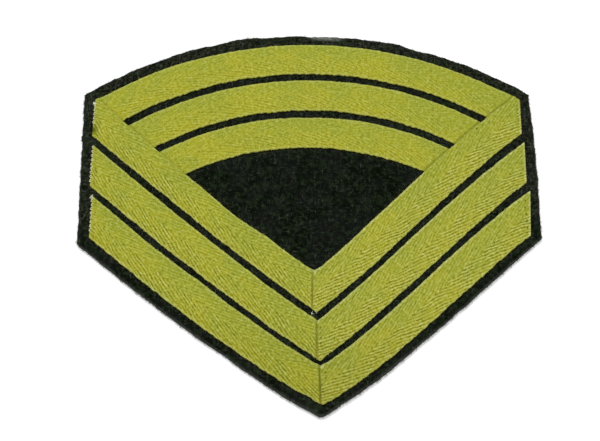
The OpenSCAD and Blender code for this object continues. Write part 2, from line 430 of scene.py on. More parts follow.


# Noises are as above, but only patches and the painted shade towards the point are in metres: the others follow
# the tape in millimetres
tapeLook = {
    # groove: darker tone, for painted shade in the furrows and towards the point, and for darker yarn
    "groove": (0.080, 0.087, 0.002, 1),
    "yellow": (0.260, 0.255, 0.017, 1),
    "green": (0.204, 0.228, 0.022, 1),
    # pale: paler tone, for the painted highlight on the ribs and for paler yarn
    "pale": (0.390, 0.408, 0.115, 1),
    # lip: painted highlight on the tape edges
    "lip": (0.72, 0.74, 0.45, 1),
    # seam: painted shade and shadow along seams and sewn lines, and darker spots
    "seam": (0.070, 0.076, 0.002, 1),
    # stitchHole: painted shade in stitch holes and creases
    "stitchHole": (0.045, 0.044, 0.001, 1),
    "pointShade": (-0.070, -0.030, 0.16),   # painted shade, darker towards the point: from and up to which place, how much
    "patches": (55, 3, 0.55),
    "mottle": (0.28, 3, 0.6, (0.6, 1.0, 1.0)),
    "wear": (0.16, 2, 0.6),
    "grain": (0.85, 2, 0.7),
    "fine": (2.2, 2, 0.7),
    "hueShares": (0.45, 0.55, -0.10),   # what mottle, patches and the upper edge add to the hue
    "hueSpan": (0.34, 0.64),            # over which it turns from green to yellow
    "furrow": 0.8,         # the lower, the wider the ribs between their furrows
    "furrowTone": 0.36,    # furrows deeper than this get painted shade, the rib tops a painted highlight
    "wearSpan": (0.38, 0.60),
    "wearDepth": (0.45, 0.55),   # depth of the ribs: the first times wear, and the second anyway
    "flatTone": (0.5, 0.6),      # the same for the tone, which is weaker where the ribs are flat
    "ribTone": 0.95,       # how far the ribs' painted shade and highlight, grain and fine noise turn the colour darker or paler
    "grainTone": 2.6,
    "fineTone": 2.0,
    "lipBeads": 3.0,       # how unevenly the painted highlight shows along an edge, yarn by yarn
    "bead": 0.62,          # length of one float of yarn along a rib, in millimetres
    "heights": (0.30, -0.7, 0.9, 0.7),   # of yarn, furrows, grain and fine noise in the bumps
    "bump": 0.8,
    "bumpDepth": 0.00025,
    "roughness": 0.9,
    "shine": 0.03,
}


# Olive herringbone tape. The weave map holds the rib count and the distance along the ribs, and
# the run map holds millimetres along and across, so the pattern follows each tape round its curve.
# Ribs are the sine of half a turn a rib, without its sign. Attributes: side is -1 to 1 across the
# tape, ribDepth says how deep the ribs are, lip is over 0 where an edge gets a painted highlight and
# under 0 where a seam or sewn line gets painted shade or shadow or a spot is darker, hole is up to 1
# where a stitch hole or crease gets painted shade. Tone adds ribs and noise: over 0 it is paler than
# the tape, under 0 darker; the ribs' part is painted shade in the furrows and a painted highlight on
# the ribs.
def makeTapeMaterial(name, look):
    material, tree, shader = newMaterial(name)
    ribMap = addNode(tree, "SeparateXYZ", {0: addNode(tree, "UVMap", uv_map="weave").outputs[0]}).outputs
    run = addNode(tree, "UVMap", uv_map="run").outputs[0]
    place = addNode(tree, "TexCoord").outputs["Object"]
    side, ribDepth, lip, hole = pointValues(tree, "side", "ribDepth", "lip", "hole")
    patches = noiseNode(tree, place, *look["patches"])
    mottle, wear, grain, fine = (noiseNode(tree, run, *look[key]) for key in ("mottle", "wear", "grain", "fine"))
    wave, yarn = (mathNode(tree, "ABSOLUTE", mathNode(tree, "SINE", times(tree, count, math.pi / length)))
                  for count, length in ((ribMap[0], 1.0), (ribMap[1], look["bead"])))
    furrow = mathNode(tree, "SUBTRACT", 1.0, mathNode(tree, "POWER", wave, look["furrow"]))
    mottleShare, patchShare, sideShare = look["hueShares"]
    hue = timesPlus(tree, mottle, mottleShare, times(tree, patches, patchShare))
    hue = timesPlus(tree, side, sideShare, hue)
    colour = mixColour(tree, spread(tree, hue, *look["hueSpan"]), look["green"], look["yellow"])
    depth = timesPlus(tree, spread(tree, wear, *look["wearSpan"]), *look["wearDepth"])
    depth = times(tree, ribDepth, depth)
    # Rib tone: painted shade in the furrows and a painted highlight on the ribs; grain and fine noise add the
    # yarn's own uneven tone
    tone = times(tree, mathNode(tree, "SUBTRACT", look["furrowTone"], furrow), depth)
    tone = times(tree, tone, look["ribTone"])
    for noise, strength in ((grain, look["grainTone"]), (fine, look["fineTone"])):
        tone = timesPlus(tree, mathNode(tree, "SUBTRACT", noise, 0.5), strength, tone)
    tone = times(tree, tone, timesPlus(tree, depth, *look["flatTone"]))
    paler, darker = overAndUnder(tree, tone)
    colour = mixColour(tree, paler, colour, look["pale"])
    colour = mixColour(tree, darker, colour, look["groove"])
    # Painted highlight along the edges, uneven by the grain, and painted shade or shadow along seams and sewn
    # lines
    beads = timesPlus(tree, mathNode(tree, "SUBTRACT", grain, 0.5), look["lipBeads"], 1.0)
    paleLip, seam = overAndUnder(tree, lip)
    paleLip = mathNode(tree, "MINIMUM", times(tree, paleLip, beads), 1.0)
    colour = mixColour(tree, paleLip, colour, look["lip"])
    colour = mixColour(tree, seam, colour, look["seam"])
    # Painted shade in stitch holes and creases
    colour = mixColour(tree, hole, colour, look["stitchHole"])
    # Painted shade towards the point: the tape turns darker below the place where it starts to rise
    low, high, dark = look["pointShade"]
    awayFromPoint = spread(tree, addNode(tree, "SeparateXYZ", {0: place}).outputs[1], low, high)
    colour = mixColour(tree, timesPlus(tree, awayFromPoint, -dark, dark), colour, look["groove"])
    height = 0.0
    for bumps, share in zip((yarn, times(tree, furrow, depth), grain, fine), look["heights"]):
        height = timesPlus(tree, bumps, share, height)
    finishShader(tree, shader, look, colour, height)
    return material


# Sewing threads, each with its dark and its pale shade
threadLook = {
    "olive": ((0.20, 0.20, 0.02, 1), (0.42, 0.43, 0.10, 1)),
    "dark": ((0.030, 0.032, 0.020, 1), (0.085, 0.090, 0.050, 1)),
    "zigzag": ((0.34, 0.35, 0.17, 1), (0.60, 0.61, 0.38, 1)),
    "pale": ((0.40, 0.42, 0.28, 1), (0.76, 0.78, 0.62, 1)),
    "twist": 900,          # scale of the twist, and how uneven it is
    "uneven": 3.0,
    "bump": 0.4,
    "bumpDepth": 0.0001,
    "roughness": 0.7,
    "shine": 0.5,
}


def makeThreadMaterial(kind, look):   # a soft twist across each stitch
    material, tree, shader = newMaterial(kind + "Thread")
    place = addNode(tree, "TexCoord").outputs["Object"]
    twist = addNode(tree, "TexWave", {"Vector": place, "Scale": look["twist"], "Distortion": look["uneven"]},
                    bands_direction="DIAGONAL").outputs["Fac"]
    finishShader(tree, shader, look, mixColour(tree, twist, *look[kind]), twist)
    return material


clothMaterial = makeClothMaterial("darkWool", clothLook)
fuzzMaterial = makeClothMaterial("woolFibre", fuzzLook)
tapeMaterial = makeTapeMaterial("oliveHerringbone", tapeLook)
threads = {kind: makeThreadMaterial(kind, threadLook) for kind in ("olive", "dark", "zigzag", "pale")}
print("materials are ready")

felt = {
    "columns": 236,        # cells across, a whole number of backSteps
    "rows": 196,           # cells from the point to the arch
    "backStep": 4,         # the back has one cell for so many of the front
    "edgeSteps": (0.0, 0.10, 0.28, 0.55, 0.95),
    "rounding": 0.55,
    "wallFoot": 0.25,      # height at which the cut edge turns into the back
    "lowSquare": 0.85,     # heights over the lower edge times this are square to it, and so for the arch
    "archSquare": 0.95,
    "ragged": 0.22,
    "raggedCells": ((1.3, 1.0), (4.0, 0.8)),   # cell and share of each layer of the ragged edge
    "raggedReach": 2.5,    # how far in from the edge the cloth goes along with it
    # Where the shears went astray: place, reach, and how far the outline is off in x and y
    "snips": ((-47, 142.5, 6.5, 0, 0.45), (-35, 146, 5, 0, 0.18), (-25.5, 149, 5, 0, 0.75), (6, 151, 8, 0, -0.50),
              (37, 147, 3.5, 0, 0.50), (44.5, 144.5, 6, 0, -0.52), (83.5, 127, 4, 0, 0.60), (88.6, 90, 9, 0.37, 0),
              (88.6, 107, 6, 0.30, 0), (88.6, 121, 5, -0.70, 0), (88.6, 124.5, 2.5, 0.10, 0.55),
              (-34, 22, 10, 0.15, 0.24), (-11, 6.5, 5, 0, -0.33), (2.6, 0.5, 1.5, 0, -0.20),
              (9.5, 5.5, 3.5, 0, 0.36), (26, 15, 8, 0.25, -0.48)),
    "wallHighlight": 0.36,      # painted highlight on the cut edge itself, where its fibre ends catch the light
    "rimHighlight": (0.11, 0.9),       # the same painted highlight on its rounding, and how far in
    "lowRimPale": (0.23, 1.3),    # and along the lower edges
    "highlightSpot": (7.7, 5.8, 2.1, 1.0),   # painted highlight at the arch: place, half its length, depth, how pale
    "worn": (9.0, 4.0),    # width of the worn strip along the arch and the sides, and how much of it fades
    "wornByTapes": (2.2, 0.5),    # reach from a tape's edge, and how worn there
    "backWorn": 0.5,
    "nap": ((1.5, 0.10), (3.6, 0.10), (26.0, 0.10)),   # cell and height of each layer of unevenness
    "napRim": 0.8,         # how far from the edge it is at its full height
    "held": 0.5,           # from so far inside a tape's outline the cloth is held level
    "pile": 0.22,          # how far the cloth rises between the tapes
    "pileReach": 1.4,      # so far off a tape it is at its full height
    "arcLap": 1.0,         # how far under the upper chevron the arcs count as cover
}


def clothLow(x):   # the rows' cubic on each side, and a circle round the point
    low = np.interp(x, *rowEdge("cloth", 1))
    radius = patch["pointRadius"]
    off = x - mitreX(radius) - patch["pointX"] + patch["mitreX"]
    reach = radius * math.sin(math.radians(patch["pointTurn"]))
    return np.where(np.abs(off) < reach, radius - np.sqrt(np.maximum(radius**2 - off**2, 0)), low)


def clothTop(x):   # a circle's upper half
    return patch["height"] - patch["archRadius"] + np.sqrt(patch["archRadius"]**2 - (x - patch["archX"])**2)


def clothRoom(x, y):   # how far inside the cloth's sides, lower edge and arch a place is
    return (halfCloth - np.abs(x), (y - clothLow(x)) * felt["lowSquare"], (clothTop(x) - y) * felt["archSquare"])


# How far inside the nearest tape's outline a place is, below 0 outside all of them
def tapeCover(x, y):
    square = math.cos(math.radians(patch["armSlope"]))
    best = np.full(np.shape(x), -farOff)
    for rowName in ("lower", "middle", "upper"):
        upper, lower = (np.interp(x, *rowEdge(rowName, edge)) for edge in (1, -1))
        depth = np.minimum((upper - y) * square, (y - lower) * square)
        best = np.maximum(best, np.minimum(depth, fieldRoom(rowName, x, y)))
    room = np.minimum(fieldRoom("upper", x, y), overUpper(x, y) + felt["arcLap"])
    for number in range(3):
        depth = arcDistance(number, x, y)
        depth = np.minimum(depth, patch["tapeWidth"] - depth)
        best = np.maximum(best, np.minimum(depth, room))
    return best


# Top of the cloth away from its rim: level where a tape holds it down, raised and uneven between
def feltHeight(x, y, cover):
    raised = layers(x, y, felt["nap"], 20) + felt["pile"] * smoothStep(-cover / felt["pileReach"])
    return patch["thickness"] + smoothStep(felt["held"] - cover) * raised


def aroundGrid(grid):   # the rim of a grid of numbers as one loop, which ends where it starts
    return np.concatenate([grid[:, 0], grid[-1, 1:], grid[::-1, -1][1:], grid[0, ::-1][1:]])


# Front: x across and y from the lower edge to the arch, rounded at the rim and uneven as felt is.
# Back: one in backStep of its points each way, flat. A wall joins the two rims.
def makeFelt():
    steps = np.array(felt["edgeSteps"])
    across = stations(patch["width"], felt["columns"], steps) - halfCloth
    low, top = clothLow(across)[:, None], clothTop(across)[:, None]
    inner = np.linspace(0, 1, felt["rows"] - 2 * len(steps) + 3)
    y = low + steps[-1] + (top - low - 2 * steps[-1]) * inner
    y = np.concatenate([low + steps[:-1], y, top - steps[::-1][1:]], 1)
    x = np.repeat(across[:, None], y.shape[1], 1)
    toSide, toLow, toTop = clothRoom(x, y)
    rim = np.minimum(np.minimum(toSide, toLow), toTop)
    onEdge = rim < 0.01   # the outermost line of points
    rounding = felt["rounding"]
    drop = rounding - np.sqrt(np.maximum(rounding**2 - np.maximum(rounding - rim, 0)**2, 0))
    cover = tapeCover(x, y)
    raised = feltHeight(x, y, cover) - patch["thickness"]
    z = patch["thickness"] - drop + raised * smoothStep(rim / felt["napRim"])
    ragged = felt["ragged"] * layers(x, y, felt["raggedCells"], 31)
    follows = felt["raggedReach"]
    fade = smoothStep(1 - rim / follows)
    x = x + np.sign(x) * ragged * fade * (toSide < follows)
    y = y + ragged * fade * (np.where(toLow < follows, -1, 0) + np.where(toTop < follows, 1, 0))
    for placeX, placeY, reach, moveX, moveY in felt["snips"]:
        near = fade * spot(x, y, placeX, placeY, reach)
        x, y = x + moveX * near, y + moveY * near

    step = felt["backStep"]
    backX, backY, backEdge = x[::step, ::step], y[::step, ::step], onEdge[::step, ::step]
    points = np.concatenate([laid(x, y, z), laid(backX, backY, np.where(backEdge, felt["wallFoot"], 0.0))])
    frontLoop = aroundGrid(np.arange(x.size).reshape(x.shape))
    backLoop = aroundGrid(np.arange(backX.size).reshape(backX.shape)) + x.size
    k = np.arange(len(backLoop) - 1)[:, None]
    wall = np.concatenate([frontLoop[(k + 1) * step - np.arange(step + 1)], backLoop[k], backLoop[k + 1]], 1)
    faces = [gridFaces(*x.shape, False), gridFaces(*backX.shape, False)[:, ::-1] + x.size, wall]

    # Painted highlight on the cut edge, its rounding and the lower edges, and at the arch
    (pale, reach), (lowPale, lowReach) = felt["rimHighlight"], felt["lowRimPale"]
    rimHighlight = np.maximum(pale * smoothStep(1 - rim / reach), lowPale * smoothStep(1 - toLow / lowReach))
    highlightX, highlightReach, highlightDepth, highlightAmount = felt["highlightSpot"]
    rimHighlight = np.maximum(rimHighlight, highlightAmount * smoothStep(highlightDepth - toTop) * np.exp(-((x - highlightX) / highlightReach)**4))
    rimHighlight = np.where(onEdge, felt["wallHighlight"], rimHighlight)
    width, fadeWidth = felt["worn"]
    wornTop = smoothStep((width - np.minimum(toSide, toTop)) / fadeWidth)
    wornTop = wornTop * (1 - smoothStep((width - toLow) / fadeWidth))
    tapeReach, byTapes = felt["wornByTapes"]
    worn = np.maximum(wornTop, byTapes * smoothStep(cover + tapeReach))
    sides = {"rim": (rimHighlight, np.where(backEdge, felt["wallHighlight"], 0)),
             "worn": (worn, felt["backWorn"] + 0 * backX)}
    values = {key: np.concatenate([front.reshape(-1), back.reshape(-1)]) for key, (front, back) in sides.items()}
    piece = makePiece("feltBacking", points, faces, clothMaterial, values=values)
    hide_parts("backing")
    return piece, np.stack([x.reshape(-1)[frontLoop], y.reshape(-1)[frontLoop]], -1)


feltPiece, feltOutline = makeFelt()
print("felt backing is made,", len(feltPiece.data.polygons), "faces")

weave = {
    "slant": 18.0,         # degrees between the ribs and the run of the tape
    "pitch": 1.09,         # from rib to rib, square to the ribs
    "ribHeight": 0.18,
    "wander": ((7.0, 0.30), (2.1, 0.20)),   # cell in millimetres, and how far ribs stray there, in pitches
    "upperRibs": 0.55,     # ribs in the upper half of a tape are packed flatter
    "rightRibs": 1.15,     # ribs of the right arms stand out more, in their bumps and in their painted rib shade and highlight, as the light catches their slant
    "arcRibs": 0.60,
    "selvage": 0.7,        # plain edge with no ribs
    "selvageTurns": (60, 30, 0, -30, -60),   # degrees round it, from the top
    "acrossCells": 64,     # a whole number of backCells
    "backCells": 8,
    "alongCell": 0.42,
    "edgeRound": 0.30,
    "frayTop": ((0.9, 0.15), (3.0, 0.12), (9.0, 0.12)),    # unevenness of the upper and lower edge: cell, height
    "frayFoot": ((0.9, 0.24), (3.0, 0.12), (9.0, 0.12)),
    "frayShare": 0.2,      # outermost part of a tape's half that frays
    "driftShare": 0.4,     # and that goes along where its edge is off its line
    "frayEnds": 1.5,       # how far from its ends a tape frays in full
    "uneven": ((2.6, 0.05), (9.0, 0.07)),    # unevenness of the top: cell, height
    "crown": 0.08,         # middle of the tape over its edges
    "thickness": 0.83,     # between the ribs
    "lapThickness": 0.48,  # where two tapes are sewn through
    "holeDepth": 0.45,
    "holeReach": 1.35,     # radii to where a stitch hole's dip begins
    "endRound": 0.45,      # length over which a cut end is rounded
    "endLeast": 0.04,      # square of the share of its thickness that is left at the very end
}


# Cross-section of a tape as a ring: the top from its lower to its upper edge, round the upper
# selvage, back along the underside and round the lower selvage. Share is -1 to 1 across the
# tape, level is 0 on the underside and 1 on top.
def tapeRing():
    edge = weave["edgeRound"] / halfTape
    bend = np.radians(weave["selvageTurns"])
    top = np.linspace(edge - 1, 1 - edge, weave["acrossCells"] + 1)
    bottom = np.linspace(1 - edge, edge - 1, weave["backCells"] + 1)
    turned = 1 - edge * (1 - np.cos(bend))
    level = 0.5 + 0.5 * np.sin(bend)
    return (np.concatenate([top, turned, bottom, -turned]),
            np.concatenate([top * 0 + 1, level, bottom * 0, level[::-1]]))


ringShare, ringLevel = tapeRing()
selvageCount = len(weave["selvageTurns"])

# Painted light along a tape's two edges: a painted highlight up to paleTo millimetres in, then a line of
# painted shade where it is sewn down. Each kind has its pale lower and upper edge, then its dark lower and upper
# line.
rims = {
    "left": (0.085, 0.07, 0.20, 0.08),
    "right": (0.06, 0.12, 0.00, 0.10),
    "arc": (0.06, 0.06, 0.06, 0.04),
    "paleTo": 1.05,
    "paleFade": 0.50,
    "darkAt": 1.50,
    "darkWidth": 0.45,
    "ends": {-1: (0.00, 0.16), 1: (0.13, 0.05)},   # the same two at the arms' left and right ends
    "rightSheen": 0.010,    # right arms get a little painted sheen all over
}


def edgeTone(fromEdge, pale, dark):   # painted highlight in a smooth step down from the edge, less painted shade in a bell round the sewn line
    return (pale * smoothStep((rims["paleTo"] - fromEdge) / rims["paleFade"])
            - dark * bell((fromEdge - rims["darkAt"]) / rims["darkWidth"]))


# Painted edge highlight and sewn-line shade across the ring, for one kind of tape
def rimTone(kind):
    paleLow, paleTop, darkLow, darkTop = rims[kind]
    return edgeTone((1 - np.abs(ringShare)) * halfTape, np.where(ringShare > 0, paleTop, paleLow),
                    np.where(ringShare > 0, darkTop, darkLow))[None, :]


# Faces that close one end of the ring: one for each cell of the back and one for each selvage
def capFaces(first, startEnd):
    top, back = weave["acrossCells"], weave["backCells"]
    group = top // back
    k, bend = np.arange(back)[:, None], np.arange(selvageCount)
    firstBack = top + 1 + selvageCount
    cells = np.concatenate([top - (k + 1) * group + np.arange(group + 1), firstBack + k, firstBack + k + 1], 1)
    upper = np.concatenate([[top], top + 1 + bend, [firstBack]])[None, :]
    lower = np.concatenate([[firstBack + back], firstBack + back + 1 + bend, [0]])[None, :]
    return [(f if startEnd else f[:, ::-1]) + first for f in (cells, upper, lower)]


def ribPhase(along, across, seed):   # ribs slant away from the middle on both sides and meet there
    slant = math.radians(weave["slant"])
    phase = (along * math.sin(slant) - np.abs(across) * math.cos(slant)) / weave["pitch"]
    return phase + sum(far * smoothNoise(along, across, cell, seed + cell) for cell, far in weave["wander"])


# Where a tape was laid a little off its line: upper (1) or lower (-1) edge, place along x, reach,
# and how far the edge is too high
drifts = {
    "chevron_upper": ((1, -29, 7, -0.75), (1, -16, 4, 0.45), (-1, -33, 10, -0.40), (1, 24, 4, 0.35),
                      (1, 84, 3.5, 0.90)),
    "chevron_middle": ((1, -14, 14, -0.40), (-1, -16, 5, -0.35), (-1, -52, 5, -0.30)),
    "chevron_lower": ((1, -63, 7, -0.45), (1, -40, 6, 0.50), (1, -8, 9, -0.30), (-1, -0.8, 2.2, 0.40),
                      (-1, 5.8, 2, 0.25)),
    "arc_outer": ((1, -83.5, 2.2, 0.90), (1, -58, 14, 0.35), (1, 84, 6, 0.85), (-1, -30, 8, 0.35)),
    "arc_middle": ((1, 40, 22, 0.22), (-1, -55, 9, -0.35)),
    "arc_inner": ((1, 0, 14, -0.25), (-1, 24, 16, -0.28)),
}


# A tape from the places of its columns and ring. weaveA and weaveB are along and across for the
# faces before and after the crease column. Height on top is thickness, a slight crown, ribs as a
# cosine of the rib phase, and unevenness; the ends round off. Tone is over 0 where paler.
def makeTape(name, x, y, under, thickness, fromEnd, weaveA, weaveB, creaseColumn, calm, crease, tone, holes, seed):
    columns, ring = x.shape
    plain = smoothStep((1 - np.abs(ringShare)) * halfTape / weave["selvage"])[None, :]
    ribDepth = plain * calm * np.where(ringShare > 0, weave["upperRibs"], 1.0)[None, :]
    before = np.arange(columns)[:, None] < creaseColumn
    along, across = (np.where(before, a, b) for a, b in zip(weaveA, weaveB))
    ribs = (0.5 - 0.5 * np.cos(2 * np.pi * ribPhase(along, across, seed))) * weave["ribHeight"] * ribDepth
    crown = weave["crown"] * (1 - ringShare[None, :]**2)
    hole = np.zeros_like(x)
    for holeX, holeY, radius in holes:
        hole = np.maximum(hole, smoothStep(weave["holeReach"] - np.hypot(x - holeX, y - holeY) / radius))
    uneven = layers(x, y, weave["uneven"], seed + 1) * plain
    top = under + thickness + ribs + crown + uneven - weave["holeDepth"] * hole
    rounded = 1 - np.maximum(1 - fromEnd / weave["endRound"], 0)**2
    level = 0.5 + (ringLevel[None, :] - 0.5) * np.sqrt(np.maximum(rounded, weave["endLeast"]))
    z = under * (1 - level) + top * level
    lane = np.where(ringShare > 0, 23.0, 3.0)[None, :]   # each edge has its own strip of the noise
    frayTop, frayFoot = (layers(along, lane, weave[key], seed + 3) for key in ("frayTop", "frayFoot"))
    outer = outerShare(np.abs(ringShare), weave["frayShare"])[None, :]
    frayed = np.where(ringShare > 0, frayTop, frayFoot) * outer * smoothStep(fromEnd / weave["frayEnds"])
    y = y + frayed * np.sign(ringShare)[None, :]
    for edge, placeX, reach, rise in drifts[name]:
        y = y + rise * bell((x - placeX) / reach) * outerShare(edge * ringShare, weave["driftShare"])[None, :]

    def weaveMap(along, across):   # rib count, and millimetres along a rib
        slant = math.radians(weave["slant"])
        return ribPhase(along, across, seed), along * math.cos(slant) + np.abs(across) * math.sin(slant)

    def runMap(along, across):
        return along, across

    faces = gridFaces(columns, ring, True)
    caps = capFaces(0, True) + capFaces((columns - 1) * ring, False)
    late = faces[:, 0] // ring >= creaseColumn
    maps = {}
    for mapName, mapped in (("weave", weaveMap), ("run", runMap)):
        first, second = (np.stack(mapped(*places), -1).reshape(-1, 2) for places in (weaveA, weaveB))
        quads = np.where(late[:, None, None], second[faces], first[faces])
        maps[mapName] = [quads] + [(second if f.min() >= ring else first)[f] for f in caps]
    values = {"side": ringShare[None, :] + 0 * x, "ribDepth": ribDepth, "lip": (tone + 0 * x) * ringLevel[None, :],
              "hole": np.maximum(hole, crease) * ringLevel[None, :]}
    values = {key: value.reshape(-1) for key, value in values.items()}
    piece = makePiece(name, laid(x, y, z), [faces] + caps, tapeMaterial, maps, values)
    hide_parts(name)
    outermost = (weave["acrossCells"] + 1 + selvageCount // 2, ring - 1 - selvageCount // 2)
    return piece, [np.stack([x[:, k], y[:, k]], -1) for k in outermost]


def endSteps(length):   # places of the closer columns at a tape's ends, in millimetres from the end
    return np.array([0.0, 0.06, 0.15, 0.30, *np.arange(0.50, length + 0.01, 0.25)])


arcTape = {
    "sweep": 0.95,         # radians, wider than any arc's half
    "taperLength": 6.0,    # over which an arc's end thins towards the chevron that covers it
    "closeLength": 6.0,    # columns are closer together up to here from an end
    "seamShades": (0.22, 0.50),   # painted shadow on an arc just above the upper chevron's left and right arm
    "seamAt": 0.45,
    "seamWidth": 0.35,
}


# Arc: radius by the share across, angle by the share along, between the side border or the line
# under the upper chevron at each end
def makeArc(number, name, seed):
    radius = arcOuterRadius(number) - (1 - ringShare) * halfTape
    centreY = arcCrown(number) - arcOuterRadius(number)

    def place(angle):
        return patch["arcX"] + radius * np.sin(angle), centreY + radius * np.cos(angle)

    def inside(angle):
        x, y = place(angle)   # the outer arc's edge is the field's own edge, where the room is 0
        return (fieldRoom("upper", x, y) > -0.01) & (overUpper(x, y) > -patch["lapWidth"])

    ends = [lastInside(inside, 0 * radius, 0 * radius + hand * arcTape["sweep"]) for hand in (-1, 1)]
    middle = arcOuterRadius(number) - halfTape
    length = middle * (ends[1] - ends[0]).mean()
    steps = endSteps(arcTape["closeLength"]) / length
    share = stations(1.0, int(length / weave["alongCell"]), steps)[:, None]
    angle = ends[0] + (ends[1] - ends[0]) * share
    x, y = place(angle)
    fromEnd = np.minimum(share, 1 - share) * length + 0 * x
    above = overUpper(x, y)
    thin = smoothStep((above + patch["lapWidth"]) / arcTape["taperLength"])
    # Painted shadow on the arc along the upper chevron's edge, which lies over it
    seam = np.where(x > 0, arcTape["seamShades"][1], arcTape["seamShades"][0])
    seam = seam * bell((above - arcTape["seamAt"]) / arcTape["seamWidth"])
    thickness = weave["lapThickness"] + (weave["thickness"] - weave["lapThickness"]) * thin
    run = (angle * middle, (ringShare * halfTape)[None, :] + 0 * x)
    calm = weave["arcRibs"] * (0.5 + 0.5 * thin)
    piece, edges = makeTape(name, x, y, seat + 0 * x, thickness, fromEnd, run, run, 0, calm, 0 * x,
                            rimTone("arc") - seam, [], seed)
    return piece, edges, length


chevron = {
    "creaseTop": {"upper": 0.85, "middle": 0.50, "lower": 0.50},    # left of the mitre at its upper corner
    "creaseFoot": {"upper": 1.80, "middle": 1.10, "lower": 0.85},   # and at its lower corner
    "creaseDepth": 0.34,
    "creaseWidth": 0.33,
    "creaseCalm": 0.8,     # how much of the ribs it flattens
    # How dark it is, at its ends and in its middle
    "creaseShade": {"upper": (0.20, 0.68), "middle": (0.30, 0.60), "lower": (0.56, 0.82)},
    "creaseSheen": (0.03, 0.9, 0.35),   # pale strip on both sides of it: how pale, how far from it, width
    "blunt": {"upper": 0.55, "middle": 0.15, "lower": 0.45},   # the upper edge's corner is filled in by this
    "bluntReach": 1.6,
    "bluntShare": 0.14,
    "cornerReach": 5.0,    # over which the arms are drawn to their common corner
    "darkSpots": {"upper": ((-84.0, 111.6, 1.4, 0.95),), "middle": (), "lower": ()},   # darker spots on a tape: place, reach and darkness
    "foldRise": 0.28,      # right arm over its pleat
    "foldRamp": 0.5,
    "pleatFade": 1.2,
    "lapRise": 0.62,       # upper chevron over the arc ends
    "lapRamp": 3.5,
    "lapPast": 0.2,        # how far over the arcs' ends it is still at its full height
    "lapSide": 1.6,        # width of the ramps beside each arc
    "lapCalm": 0.80,       # how much of its painted edge highlight and shade the upper edge loses over the arcs
    "overrun": 0.19,       # how far past its ends an arm's line is followed, as a share of it
    "closeLength": 3.25,   # columns are closer together up to here from an end
    "slivers": ((0.35,), (0.7,)),   # columns between crease and mitre
}


def pleatCover(rowName, x, y):   # how far inside the hidden pleat's triangle a place is, from its three sides
    arm = arms[rowName, 1]
    turn = arm["rowSlope"]
    rise = arm["pointWidth"] / 2 / math.cos(turn)
    low, high = (np.array([mitreX(height), height]) for height in (arm["pointY"] - rise, arm["pointY"] + rise))
    tuck = low + arm["pointWidth"] * np.array([math.sin(turn), math.cos(turn)])
    inside = np.full(np.shape(x), farOff)
    for a, b in ((low, tuck), (tuck, high), (high, low)):
        side = (b - a) / np.hypot(*(b - a))
        inside = np.minimum(inside, side[0] * (y - a[1]) - side[1] * (x - a[0]))
    return inside


def lapOver(x, y):   # 1 where the upper chevron rides over the arcs' ends, with ramps beside and below them
    over, ramp = np.zeros_like(x), chevron["lapSide"]
    for number in range(3):
        inArc = arcDistance(number, x, y)
        beside = smoothStep((inArc + ramp) / ramp) * smoothStep((patch["tapeWidth"] + ramp - inArc) / ramp)
        over = np.maximum(over, beside)
    depth = (1 - ringShare)[None, :] * halfTape
    return over * smoothStep(1 - (depth - patch["lapWidth"] - chevron["lapPast"]) / chevron["lapRamp"])


